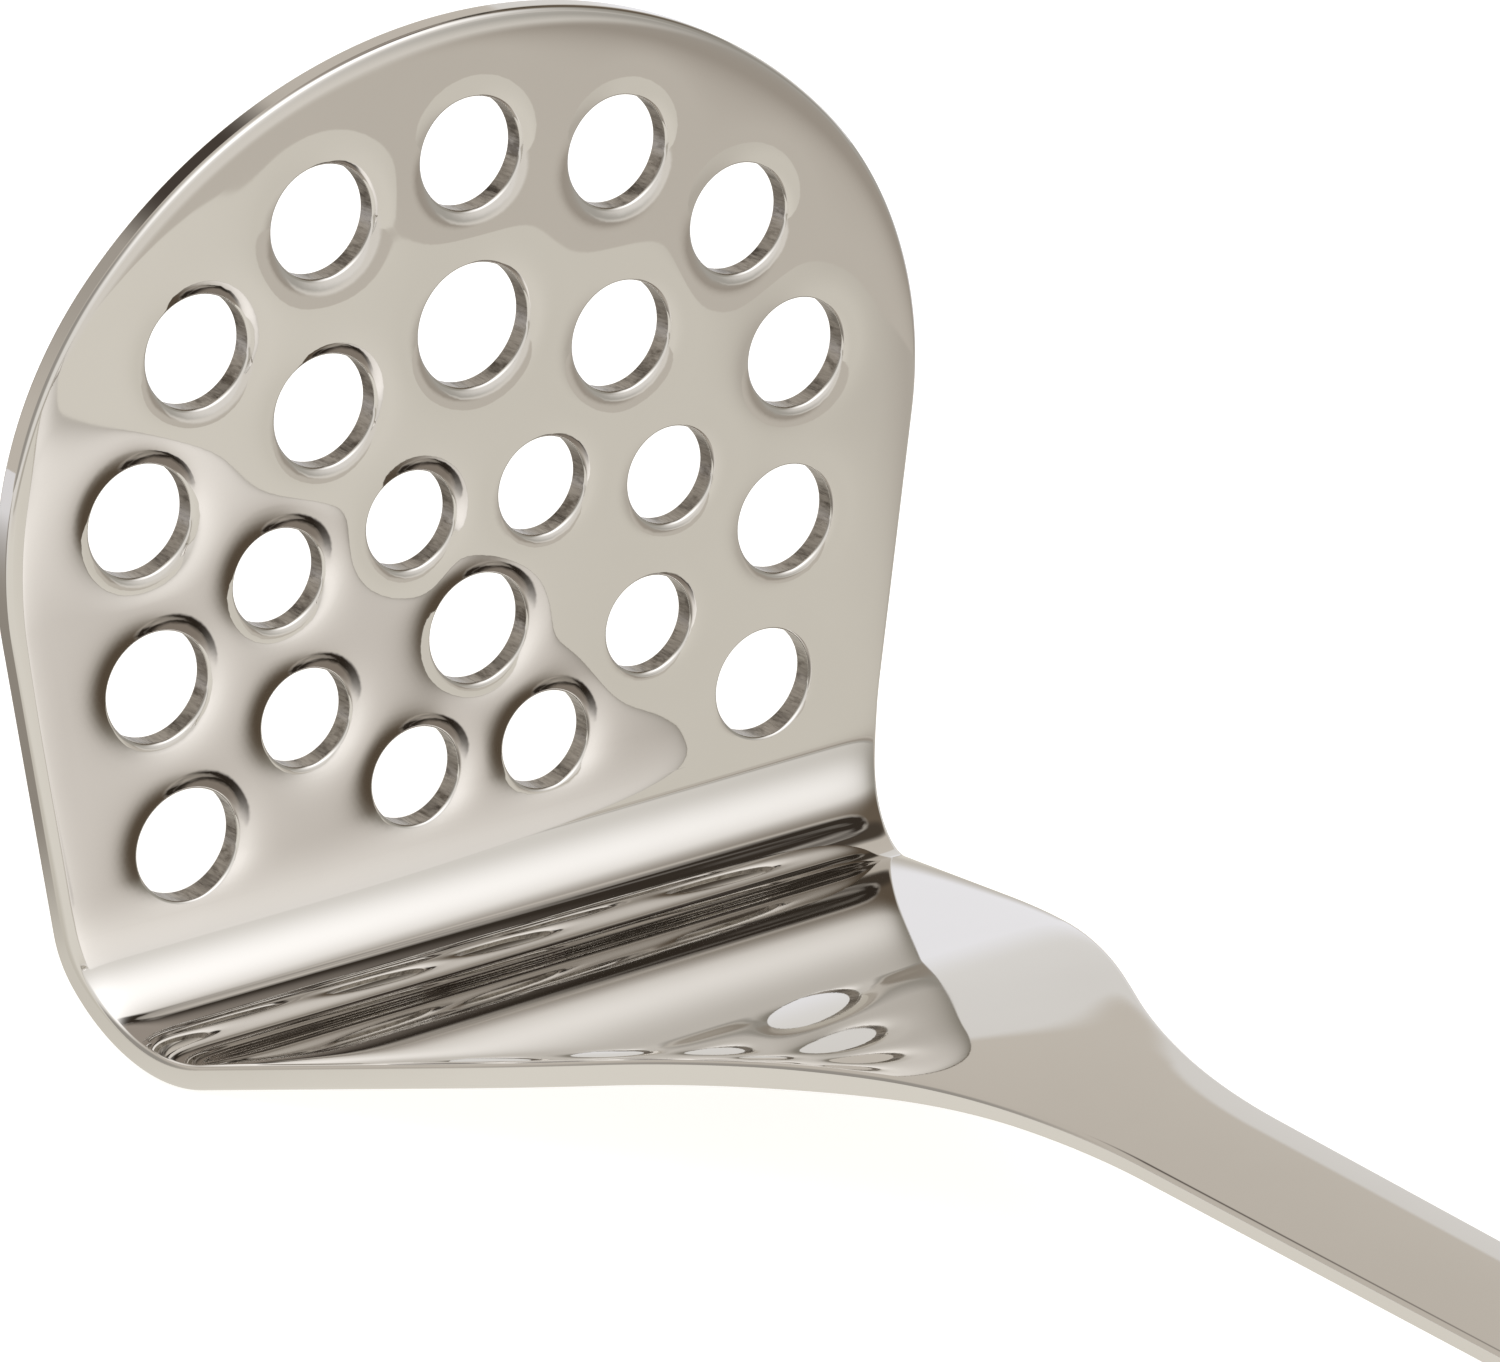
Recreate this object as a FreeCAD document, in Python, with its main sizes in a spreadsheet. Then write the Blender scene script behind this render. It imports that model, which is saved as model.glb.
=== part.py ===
"""Potato masher: a punched steel plate, bent over into a neck and a flat shank, with a hollow grip.

Millimetres throughout. The head is laid out upright: the plate's front face lies on the plane x = 0,
+X runs along the handle, +Y across the plate and +Z up it, and z = 0 is the lowest point of the bend.
The grip is laid out on its own axis, which starts where the shank ends. At the end every sub-part is
turned about Y by the same angle and moved, so that the masher rests on its bend and on the underside of
its grip, with the origin at the bottom centre of its box.
"""
import FreeCAD, Part
import math
import os
import Sketcher
from FreeCAD import Placement, Rotation, Vector

# Driving dimensions, in millimetres and degrees.
DIMENSIONS = {
    # sheet
    "sheet_thick": 2.35,
    "edge_round": 0.9,
    # plate outline: a top arc, two shoulder arcs and two straight sides that close in towards the bend
    "plate_height": 84.1,
    "top_arc": 50.0,
    "shoulder_arc": 36.0,
    "side_angle": 8.0,
    "foot_half_width": 42.0,
    # punched holes
    "hole_large": 5.5,
    "hole_mid": 4.95,
    "hole_small": 4.4,
    "hole_lip": 0.6,
    # bend, neck and shank, seen from the side
    "bend_inner": 8.7,
    "bend_turn": 107.0,
    "neck_run": 42.2,
    "crank_arc": 135.0,
    "shank_rise": 1.4,
    # outline of the neck and shank on the flat blank: distance from the bend's start, and half width
    "foot_at": 2.4,
    "taper_at": 63.55,
    "taper_half": 23.1,
    "throat_at": 96.55,
    "throat_half": 6.95,
    "shank_end_at": 157.85,
    "shank_end_half": 6.1,
    "foot_arc": 30.0,
    "taper_arc": 230.0,
    "throat_arc": 62.0,
    # rounding of the shank's faces: where it starts to widen, and how wide it gets
    "bevel_from": 66.0,
    "shank_bevel": 3.0,
    # tang inside the grip
    "tang_half": 5.0,
    "tang_length": 62.0,
    # grip
    "grip_flatness": 0.727,
    "hollow_flatness": 0.703,
    "shell_thick": 0.9,
    "spigot_length": 6.0,
    "fit_gap": 0.05,
    "eyelet_at": 107.0,
    "eyelet_outer": 4.0,
    "eyelet_inner": 3.2,
}

# Punched holes: name, distance from the plate's middle line, height on the plate, size. Those off the
# middle line come in mirrored pairs.
HOLES = [
    ("rim_top", 0.0, 72.0, "mid"),
    ("crown", 0.0, 56.7, "large"),
    ("heart", 0.0, 29.1, "mid"),
    ("rim_upper", 14.8, 69.1, "mid"),
    ("rim_shoulder", 27.3, 60.4, "mid"),
    ("rim_side", 33.3, 46.8, "mid"),
    ("rim_lower", 32.1, 31.6, "mid"),
    ("rim_foot", 29.7, 16.7, "mid"),
    ("crown_side", 15.0, 52.4, "mid"),
    ("waist_inner", 6.7, 40.6, "small"),
    ("waist_outer", 20.0, 38.5, "small"),
    ("foot_outer", 17.6, 25.2, "small"),
    ("foot_inner", 6.7, 17.1, "small"),
]

# Oval sections of the collar's nose: name, place on the grip's axis, half width, half height.
COLLAR_SECTIONS = [
    ("collar_front", 0.0, 7.0, 2.0),
    ("collar_middle", 4.5, 7.5, 3.9),
    ("collar_back", 9.0, 7.8, 5.67),
]
# Outline of the grip seen from above: name, place on the grip's axis, half width.
GRIP_OUTLINE = [
    ("grip_front", 9.0, 7.8),
    ("grip_rise", 32.0, 9.7),
    ("grip_palm", 62.0, 11.0),
    ("grip_fall", 92.0, 10.1),
    ("grip_heel", 112.0, 8.4),
    ("grip_dome", 122.0, 5.0),
    ("grip_end", 125.0, 0.0),
]

ROOM = 20.0           # how far a cutting box stands outside the grip
HOLLOW_LEAD = 1.0     # how far the solid that hollows the grip starts in front of it
STATION_PITCH = 2.0   # distance between the sections of the neck and shank

doc = FreeCAD.newDocument("potato_masher")
sheet = doc.addObject("Spreadsheet::Sheet", "dims")
size = dict(DIMENSIONS)
for name, across, up, _ in HOLES:
    size[name + "_across"] = across
    size[name + "_up"] = up
for name, at, half_width, half_height in COLLAR_SECTIONS:
    size[name + "_at"] = at
    size[name + "_half_width"] = half_width
    size[name + "_half_height"] = half_height
for name, at, half_width in GRIP_OUTLINE:
    size[name + "_at"] = at
    size[name + "_half_width"] = half_width
for row, (alias, value) in enumerate(size.items(), start=1):
    sheet.set(f"A{row}", alias)
    sheet.set(f"B{row}", str(value))
    sheet.setAlias(f"B{row}", alias)
doc.recompute()
size = {alias: float(sheet.get(alias)) for alias in size}

half_thick = size["sheet_thick"] / 2
bend_centre_up = size["bend_inner"] + size["sheet_thick"]


def bind(obj, **expressions):
    """Bind properties of an object to expressions over the sheet, such as Length="dims.tang_length"."""
    for prop, expression in expressions.items():
        obj.setExpression(prop, expression)


def bind_x(obj, expression):
    """Bind the X of an object's place."""
    obj.setExpression(".Placement.Base.x", expression)


# ---------------------------------------------------------------- the plate: a punched flat sheet


def origin_plane(body, role):
    return next(feature for feature in body.Origin.OriginFeatures if feature.Role == role)


def plate_sketch(body, name):
    sketch = body.newObject("Sketcher::SketchObject", name)
    sketch.AttachmentSupport = [(origin_plane(body, "YZ_Plane"), "")]
    sketch.MapMode = "FlatFace"
    return sketch


def constrain(sketch, expression, *constraint):
    """Add a dimension to a sketch and bind it to the sheet."""
    index = sketch.addConstraint(Sketcher.Constraint(*constraint))
    sketch.setExpression(f"Constraints[{index}]", expression)


def draw_outline(sketch):
    """Foot line, right side, right shoulder, top, left shoulder, left side."""
    side = math.radians(size["side_angle"])
    foot = size["foot_half_width"]
    top_centre = size["plate_height"] - size["top_arc"]
    centre_gap = size["top_arc"] - size["shoulder_arc"]
    outward = Vector(math.cos(side), -math.sin(side), 0)
    side_reach = outward.dot(Vector(foot, bend_centre_up, 0)) - size["shoulder_arc"]
    lean = side + math.asin((side_reach + top_centre * math.sin(side)) / centre_gap)
    shoulder = Vector(centre_gap * math.sin(lean), top_centre + centre_gap * math.cos(lean), 0)
    side_top = shoulder + outward * size["shoulder_arc"]

    def mirrored(point):
        return Vector(-point.x, point.y, 0)

    def arc(centre, radius, start, end):
        circle = Part.Circle(centre, Vector(0, 0, 1), radius)
        return sketch.addGeometry(Part.ArcOfCircle(circle, start, end))

    quarter = math.pi / 2
    foot_right = Vector(foot, bend_centre_up, 0)
    foot_line = sketch.addGeometry(Part.LineSegment(mirrored(foot_right), foot_right))
    right_side = sketch.addGeometry(Part.LineSegment(foot_right, side_top))
    right_arc = arc(shoulder, size["shoulder_arc"], -side, quarter - lean)
    top = arc(Vector(0, top_centre, 0), size["top_arc"], quarter - lean, quarter + lean)
    left_arc = arc(mirrored(shoulder), size["shoulder_arc"], quarter + lean, math.pi + side)
    left_side = sketch.addGeometry(Part.LineSegment(mirrored(side_top), mirrored(foot_right)))

    start, end, centre = 1, 2, 3
    upright_axis, origin_point = -2, -1
    for first, second in ((right_side, right_arc), (right_arc, top), (top, left_arc), (left_arc, left_side)):
        sketch.addConstraint(Sketcher.Constraint("Tangent", first, end, second, start))
    sketch.addConstraint(Sketcher.Constraint("Coincident", foot_line, end, right_side, start))
    sketch.addConstraint(Sketcher.Constraint("Coincident", left_side, end, foot_line, start))
    sketch.addConstraint(Sketcher.Constraint("Symmetric", foot_line, start, foot_line, end, upright_axis))
    sketch.addConstraint(Sketcher.Constraint("Symmetric", left_side, start, right_side, end, upright_axis))
    sketch.addConstraint(Sketcher.Constraint("PointOnObject", top, centre, upright_axis))
    constrain(sketch, "dims.top_arc", "Radius", top, size["top_arc"])
    constrain(sketch, "dims.shoulder_arc", "Radius", right_arc, size["shoulder_arc"])
    constrain(sketch, "(90 - dims.side_angle) * 1 deg", "Angle", right_side, quarter - side)
    constrain(sketch, "2 * dims.foot_half_width", "DistanceX", foot_line, start, foot_line, end, 2 * foot)
    constrain(sketch, "dims.bend_inner + dims.sheet_thick",
              "DistanceY", origin_point, start, foot_line, start, bend_centre_up)
    constrain(sketch, "dims.plate_height - dims.top_arc",
              "DistanceY", origin_point, start, top, centre, top_centre)


def draw_holes(sketch, holes):
    start, centre, upright_axis, origin_point = 1, 3, -2, -1
    for name, across, up, grade in holes:
        radius = size["hole_" + grade]
        circle = sketch.addGeometry(Part.Circle(Vector(across, up, 0), Vector(0, 0, 1), radius))
        constrain(sketch, f"dims.hole_{grade}", "Radius", circle, radius)
        constrain(sketch, f"dims.{name}_up", "DistanceY", origin_point, start, circle, centre, up)
        if across:
            constrain(sketch, f"dims.{name}_across",
                      "DistanceX", origin_point, start, circle, centre, across)
        else:
            sketch.addConstraint(Sketcher.Constraint("PointOnObject", circle, centre, upright_axis))


def edge_names(shape, wanted):
    return [f"Edge{index}" for index, edge in enumerate(shape.Edges, start=1) if wanted(edge)]


def is_outline(edge):
    """An edge of the plate's outline on its front or back face, other than the foot line."""
    box = edge.BoundBox
    return box.XLength < 1e-6 and box.ZMax > bend_centre_up + 1e-3


def is_front_circle(edge):
    return edge.BoundBox.XMin > -1e-6 and isinstance(edge.Curve, Part.Circle) and edge.isClosed()


def make_plate():
    body = doc.addObject("PartDesign::Body", "plate")
    outline = plate_sketch(body, "plate_outline")
    draw_outline(outline)
    pad = body.newObject("PartDesign::Pad", "plate_pad")
    pad.Profile = outline
    pad.Reversed = True
    bind(pad, Length="dims.sheet_thick")
    doc.recompute()

    rounding = body.newObject("PartDesign::Fillet", "plate_edge")
    rounding.Base = (pad, edge_names(pad.Shape, is_outline))
    bind(rounding, Radius="dims.edge_round")
    doc.recompute()

    middle = plate_sketch(body, "middle_holes")
    draw_holes(middle, [hole for hole in HOLES if not hole[1]])
    punch_middle = body.newObject("PartDesign::Pocket", "punch_middle")
    punch_middle.Profile = middle
    punch_middle.Type = "ThroughAll"
    doc.recompute()

    pairs = plate_sketch(body, "right_holes")
    draw_holes(pairs, [hole for hole in HOLES if hole[1]])
    punch_right = body.newObject("PartDesign::Pocket", "punch_right")
    punch_right.Profile = pairs
    punch_right.Type = "ThroughAll"
    doc.recompute()

    punch_left = body.newObject("PartDesign::Mirrored", "punch_left")
    punch_left.Originals = [punch_right]
    punch_left.MirrorPlane = (origin_plane(body, "XZ_Plane"), "")
    body.Tip = punch_left
    doc.recompute()

    lip = body.newObject("PartDesign::Fillet", "hole_lips")
    lip.Base = (punch_left, edge_names(punch_left.Shape, is_front_circle))
    bind(lip, Radius="dims.hole_lip")
    body.Tip = lip
    doc.recompute()

    punched = sum(math.pi * size["hole_" + grade] ** 2 * (2 if across else 1)
                  for _, across, _, grade in HOLES) * size["sheet_thick"]
    removed = rounding.Shape.Volume - punch_left.Shape.Volume
    assert abs(removed - punched) < 0.001 * punched, (removed, punched)
    return body


# ---------------------------------------------------------------- the bend, neck and shank


def rounded_path(points, radii):
    """A wire of straight runs in one plane, with a tangent arc of the given radius at each inner point."""
    edges = []
    run_start = points[0]
    for before, corner, after, radius in zip(points, points[1:], points[2:], radii):
        back = (before - corner).normalize()
        ahead = (after - corner).normalize()
        opening = back.getAngle(ahead)
        reach = radius / math.tan(opening / 2)
        middle = (back + ahead).normalize() * (radius / math.sin(opening / 2) - radius)
        arc_start = corner + back * reach
        arc_end = corner + ahead * reach
        if (arc_start - run_start).Length > 1e-6:
            edges.append(Part.LineSegment(run_start, arc_start).toShape())
        edges.append(Part.Arc(arc_start, corner + middle, arc_end).toShape())
        run_start = arc_end
    edges.append(Part.LineSegment(run_start, points[-1]).toShape())
    return Part.Wire(edges)


def flat_outline():
    """Points of the blank's edge: x along the blank from the start of the bend, y the half width."""
    side = math.tan(math.radians(size["side_angle"]))
    foot = size["foot_half_width"]
    corners = [
        Vector(0, foot, 0),
        Vector(size["foot_at"], foot - size["foot_at"] * side, 0),
        Vector(size["taper_at"], size["taper_half"], 0),
        Vector(size["throat_at"], size["throat_half"], 0),
        Vector(size["shank_end_at"], size["shank_end_half"], 0),
    ]
    wire = rounded_path(corners, [size["foot_arc"], size["taper_arc"], size["throat_arc"]])
    return wire.discretize(Number=round(wire.Length / STATION_PITCH))


def sheet_frame(along):
    """Place (x, z) and direction of the sheet's middle, at a distance along it from the bend's start."""
    bend_radius = size["bend_inner"] + half_thick
    bend_turn = math.radians(size["bend_turn"])
    crank_turn = math.radians(size["bend_turn"] - 90 - size["shank_rise"])
    stretches = [
        (bend_radius * bend_turn, 1 / bend_radius),
        (size["neck_run"], 0),
        (size["crank_arc"] * crank_turn, -1 / size["crank_arc"]),
        (math.inf, 0),
    ]
    x, z, heading = -half_thick, bend_centre_up, -math.pi / 2
    for length, curvature in stretches:
        step = min(along, length)
        if curvature:
            turned = heading + curvature * step
            x += (math.sin(turned) - math.sin(heading)) / curvature
            z -= (math.cos(turned) - math.cos(heading)) / curvature
            heading = turned
        else:
            x += step * math.cos(heading)
            z += step * math.sin(heading)
        along -= step
        if along <= 0:
            break
    return x, z, heading


def bevel_width(along):
    """How far in from the outline the sheet's rounding starts: it widens smoothly towards the shank."""
    share = (along - size["bevel_from"]) / (size["throat_at"] - size["bevel_from"])
    share = min(max(share, 0), 1)
    return size["edge_round"] + (size["shank_bevel"] - size["edge_round"]) * share * share * (3 - 2 * share)


def across_sheet(along, half_width):
    """The sheet's section at a distance along it: flat faces and sides, joined by quarter ellipses."""
    bevel = bevel_width(along)
    flat, side = half_width - bevel, half_thick - size["edge_round"]
    runs = [
        (Vector(flat, half_thick, 0), Vector(-flat, half_thick, 0)),
        (Vector(-half_width, side, 0), Vector(-half_width, -side, 0)),
        (Vector(-flat, -half_thick, 0), Vector(flat, -half_thick, 0)),
        (Vector(half_width, -side, 0), Vector(half_width, side, 0)),
    ]
    corners = [(-flat, side, 1), (-flat, -side, 2), (flat, -side, 3), (flat, side, 4)]
    edges = []
    for (start, end), (right, up, quarter) in zip(runs, corners):
        edges.append(Part.LineSegment(start, end).toShape())
        corner = Part.Ellipse(Vector(right, up, 0), bevel, size["edge_round"])
        sweep = [turns * math.pi / 2 for turns in (quarter, quarter + 1)]
        edges.append(Part.ArcOfEllipse(corner, *sweep).toShape())
    section = Part.Wire(edges)
    x, z, heading = sheet_frame(along)
    lift = Vector(-math.sin(heading), 0, math.cos(heading))
    ahead = Vector(math.cos(heading), 0, math.sin(heading))
    section.Placement = Placement(Vector(x, 0, z), Rotation(Vector(0, 1, 0), lift, ahead, "ZXY"))
    return section


def foot_section(plate):
    """The outline of the plate's bottom face, its edges in the same order as those of across_sheet."""
    foot = next(face for face in plate.Shape.Faces if face.BoundBox.ZMax < bend_centre_up + 1e-6)
    edges = foot.OuterWire.OrderedEdges
    front = next(index for index, edge in enumerate(edges) if edge.BoundBox.XMin > -1e-6)
    return Part.Wire(edges[front:] + edges[:front])


def make_neck(plate):
    """The sheet from the plate's foot to the end of the shank: a loft through sections across it."""
    sections = [foot_section(plate)] + [across_sheet(point.x, point.y) for point in flat_outline()[1:]]
    neck = doc.addObject("Part::Feature", "neck")
    neck.Shape = Part.makeLoft(sections, True, False)
    return neck


# ---------------------------------------------------------------- the grip, on its own axis


def make_tang():
    tang = doc.addObject("Part::Box", "tang")
    bind(tang, Length="dims.tang_length", Width="2 * dims.tang_half", Height="dims.sheet_thick")
    tang.setExpression(".Placement.Base.y", "-dims.tang_half")
    tang.setExpression(".Placement.Base.z", "-dims.sheet_thick / 2")
    return tang


def make_loft(name, sections):
    """A closed loft through ovals across the grip's axis, each given as three expressions."""
    ovals = []
    for index, (at, half_width, half_height) in enumerate(sections):
        oval = doc.addObject("Part::Ellipse", f"{name}_oval_{index}")
        oval.Placement.Rotation = Rotation(Vector(0, 1, 0), Vector(0, 0, 1), Vector(1, 0, 0), "ZXY")
        bind(oval, MajorRadius=half_width, MinorRadius=half_height)
        bind_x(oval, at)
        ovals.append(oval)
    loft = doc.addObject("Part::Loft", name)
    loft.Sections = ovals
    loft.Solid = True
    return loft


def make_oval_bar(name, inset, flatness, lead):
    """A solid with the grip's outline, moved inwards by inset, turned about its axis and then flattened.

    lead is how far it starts in front of the grip.
    """
    points = [Vector(size[point + "_at"], size[point + "_half_width"] - inset, 0)
              for point, _, _ in GRIP_OUTLINE[:-1]]
    points[0].x -= lead
    tip = Vector(size["grip_end_at"] - inset, 0, 0)
    outline = Part.BSplineCurve()
    outline.interpolate(points + [tip], InitialTangent=points[1] - points[0], FinalTangent=Vector(0, -1, 0))
    foot = Vector(points[0].x, 0, 0)
    sides = [Part.LineSegment(tip, foot).toShape(), Part.LineSegment(foot, points[0]).toShape()]
    face = Part.Face(Part.Wire([outline.toShape()] + sides))
    flatten = FreeCAD.Matrix()
    flatten.A33 = flatness
    bar = doc.addObject("Part::Feature", name)
    bar.Shape = face.revolve(Vector(), Vector(1, 0, 0), 360).transformGeometry(flatten)
    return bar


def combine(kind, name, base, tool):
    """A boolean of two objects; kind is Cut, Common or Fuse."""
    result = doc.addObject(f"Part::{kind}", name)
    result.Base, result.Tool = base, tool
    return result


def make_collar(tang):
    """A solid plug: a tapered nose in front, a spigot inside the shells, and a slot for the tang."""
    nose = make_loft("collar_nose", [[f"dims.{name}_{part}" for part in ("at", "half_width", "half_height")]
                                     for name, *_ in COLLAR_SECTIONS])
    inset = "dims.shell_thick - dims.fit_gap"
    spigot = make_loft("collar_spigot", [
        [f"dims.grip_front_at + {advance}", f"dims.grip_front_half_width - {inset}",
         f"dims.grip_front_half_width * dims.grip_flatness - {inset}"]
        for advance in ("0", "dims.spigot_length")])
    return combine("Cut", "collar", combine("Fuse", "collar_plug", nose, spigot), tang)


def stand_across(cylinder):
    """Stand a cylinder through the grip, where the eyelet is."""
    cylinder.Height = 2 * ROOM
    cylinder.Placement.Base = Vector(0, 0, -ROOM)
    bind_x(cylinder, "dims.eyelet_at")


def make_shells(outer):
    """The hollow grip as an upper and a lower half, both pierced for the eyelet."""
    hollow = make_oval_bar("grip_hollow", size["shell_thick"], size["hollow_flatness"], HOLLOW_LEAD)
    skin = combine("Cut", "grip_skin", outer, hollow)
    eyelet_hole = doc.addObject("Part::Cylinder", "eyelet_hole")
    bind(eyelet_hole, Radius="dims.eyelet_outer")
    stand_across(eyelet_hole)
    pierced = combine("Cut", "grip_pierced", skin, eyelet_hole)
    halves = []
    for name, bottom in (("upper", 0), ("lower", -ROOM)):
        block = doc.addObject("Part::Box", f"{name}_block")
        bind(block, Length="dims.grip_end_at")
        block.Width, block.Height = 2 * ROOM, ROOM
        block.Placement.Base = Vector(0, -ROOM, bottom)
        halves.append(combine("Common", f"{name}_shell", pierced, block))
    return halves


def make_eyelet(outer):
    """A tube through both shells, its ends ground flush with them."""
    tubes = []
    for name, radius in (("eyelet_rod", "dims.eyelet_outer"), ("eyelet_bore", "dims.eyelet_inner")):
        rod = doc.addObject("Part::Cylinder", name)
        bind(rod, Radius=radius)
        stand_across(rod)
        tubes.append(rod)
    return combine("Common", "eyelet", combine("Cut", "eyelet_tube", *tubes), outer)


# ---------------------------------------------------------------- the resting place


def about_y(degrees):
    return Placement(Vector(), Rotation(Vector(0, 1, 0), degrees))


def resting_angle(outer, grip_place):
    """How far the upright masher turns about Y until the grip's underside meets the bend's floor."""
    centre = Vector(size["bend_inner"], 0, bend_centre_up)
    angles = []
    for wire in outer.Shape.slice(Vector(0, 1, 0), 0):
        for point in wire.discretize(Number=400):
            gap = grip_place.multVec(point) - centre
            angles.append(math.atan2(gap.z, gap.x) + math.asin(bend_centre_up / math.hypot(gap.x, gap.z)))
    return math.degrees(min(angles))


plate = make_plate()
neck = make_neck(plate)
tang = make_tang()
outer = make_oval_bar("grip_outside", 0, size["grip_flatness"], 0)
collar = make_collar(tang)
upper_shell, lower_shell = make_shells(outer)
eyelet = make_eyelet(outer)
doc.recompute()

shank_x, shank_z, shank_heading = sheet_frame(size["shank_end_at"])
grip_place = Placement(Vector(shank_x, 0, shank_z), Rotation()) * about_y(-math.degrees(shank_heading))
tang_in_place = doc.addObject("Part::Compound", "tang_in_place")
tang_in_place.Links = [tang]
tang_in_place.Placement = grip_place
head = doc.addObject("Part::MultiFuse", "head")
head.Shapes = [plate, neck, tang_in_place]
doc.recompute()

sub_parts = {
    "masher_head": (head, Placement()),
    "grip_collar": (collar, grip_place),
    "grip_shell_upper": (upper_shell, grip_place),
    "grip_shell_lower": (lower_shell, grip_place),
    "hanging_eyelet": (eyelet, grip_place),
}

turn = about_y(resting_angle(outer, grip_place))
box = FreeCAD.BoundBox()
for obj, place in sub_parts.values():
    turned = obj.Shape.copy()
    turned.Placement = turn * place
    box.add(turned.optimalBoundingBox(False))
to_origin = Placement(Vector(-box.Center.x, -box.Center.y, -box.ZMin), Rotation())
for label, (obj, place) in sub_parts.items():
    obj.Label = label
    obj.Placement = to_origin * turn * place
doc.recompute()

# ---------------------------------------------------------------- checks and files

for obj in doc.Objects:
    assert not {"Invalid", "Error"} & set(obj.State), (obj.Name, obj.State)
for obj, _ in sub_parts.values():
    assert not obj.Shape.isNull() and obj.Shape.isValid(), obj.Label
    assert len(obj.Shape.Solids) == 1, (obj.Label, len(obj.Shape.Solids))

os.makedirs("parts", exist_ok=True)
for label, (obj, _) in sub_parts.items():
    obj.Shape.exportStep(f"parts/{label}.step")
    print(f"{label}: {obj.Shape.Volume / 1000:.2f} cm3")
whole = Part.makeCompound([obj.Shape for obj, _ in sub_parts.values()]).optimalBoundingBox(False)
print(f"box {whole.XLength:.2f} x {whole.YLength:.2f} x {whole.ZLength:.2f}, "
      f"from {whole.XMin:.2f}, {whole.YMin:.2f}, {whole.ZMin:.2f}")
print(f"turned {turn.Rotation.Angle * 180 / math.pi:.3f} degrees; upright frame's origin at {to_origin.Base}")
eyelet_middle = (to_origin * turn * grip_place).multVec(Vector(size["eyelet_at"], 0, 0))
eyelet_axis = (turn * grip_place).Rotation.multVec(Vector(0, 0, 1))
print(f"eyelet at {eyelet_middle}, axis {eyelet_axis}")
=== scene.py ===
"""Potato masher in polished steel: a punched plate bent over into a neck and a flat shank, and a hollow grip.

Sizes are in millimetres, as in the CAD model, and become metres when a mesh is made. Shapes are laid out in
the upright frame, where the plate's front face is the plane x = 0 and the lowest point of the bend is z = 0,
and are then turned and moved to where the masher rests.
"""

import math

import bpy
import numpy as np
from mathutils import Matrix, Vector
from mathutils.geometry import delaunay_2d_cdt


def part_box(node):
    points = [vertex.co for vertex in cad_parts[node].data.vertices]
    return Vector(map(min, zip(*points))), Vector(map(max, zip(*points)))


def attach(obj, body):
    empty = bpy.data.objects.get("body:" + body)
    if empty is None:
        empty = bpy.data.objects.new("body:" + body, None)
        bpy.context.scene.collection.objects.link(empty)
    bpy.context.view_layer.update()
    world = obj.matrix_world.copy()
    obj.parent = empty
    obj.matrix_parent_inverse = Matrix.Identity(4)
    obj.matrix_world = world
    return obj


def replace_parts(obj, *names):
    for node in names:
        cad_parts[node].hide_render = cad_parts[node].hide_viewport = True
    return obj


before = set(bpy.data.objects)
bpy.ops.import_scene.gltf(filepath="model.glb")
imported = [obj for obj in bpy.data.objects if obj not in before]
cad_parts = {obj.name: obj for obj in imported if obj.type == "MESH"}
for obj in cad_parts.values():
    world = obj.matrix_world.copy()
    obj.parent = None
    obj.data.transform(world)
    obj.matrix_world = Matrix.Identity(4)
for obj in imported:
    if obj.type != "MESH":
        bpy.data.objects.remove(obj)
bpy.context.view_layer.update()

MM = 0.001

# ---------------------------------------------------------------- sizes shared with the CAD model

THICK = 2.35
PLATE_HEIGHT = 84.1
TOP_ARC = 50.0
SHOULDER_ARC = 36.0
SIDE_ANGLE = math.radians(8)
FOOT_HALF = 42.0
BEND_INNER = 8.7
BEND_TURN = math.radians(107)
NECK_RUN = 42.2
CRANK_ARC = 135.0
SHANK_RISE = math.radians(1.4)
BEND_UP = BEND_INNER + THICK
REST_TILT = math.radians(3.991)

# the flat blank's corners, as distance from the start of the bend and half width, and the arcs between them
BLANK = [(0.0, FOOT_HALF), (2.4, FOOT_HALF - 2.4 * math.tan(SIDE_ANGLE)), (63.55, 23.1), (96.55, 6.95),
         (157.85, 6.1)]
BLANK_ARCS = [30.0, 230.0, 62.0]
CROWN_FROM, CROWN_TO = 74.0, 98.0

# punched holes: distance from the middle line, height, radius
HOLES = [(0.0, 72.0, 4.95), (0.0, 56.7, 5.5), (0.0, 29.1, 4.95)]
for across, up, radius in [(14.8, 69.1, 4.95), (27.3, 60.4, 4.95), (33.3, 46.8, 4.95), (32.1, 31.6, 4.95),
                           (29.7, 16.7, 4.95), (15.0, 52.4, 4.95), (6.7, 40.6, 4.4), (20.0, 38.5, 4.4),
                           (17.6, 25.2, 4.4), (6.7, 17.1, 4.4)]:
    HOLES += [(across, up, radius), (-across, up, radius)]

COLLAR = [(0.0, 7.0, 2.0), (4.5, 7.5, 3.9), (9.0, 7.8, 5.67)]
GRIP = [(9.0, 7.8), (32.0, 9.7), (62.0, 11.0), (92.0, 10.1), (112.0, 8.4), (122.0, 5.0), (125.0, 0.0)]
GRIP_FLATNESS = 0.727
EYELET_AT, EYELET_OUTER, EYELET_INNER = 107.0, 4.0, 3.2

# ---------------------------------------------------------------- finer shape that only the looks have

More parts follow.
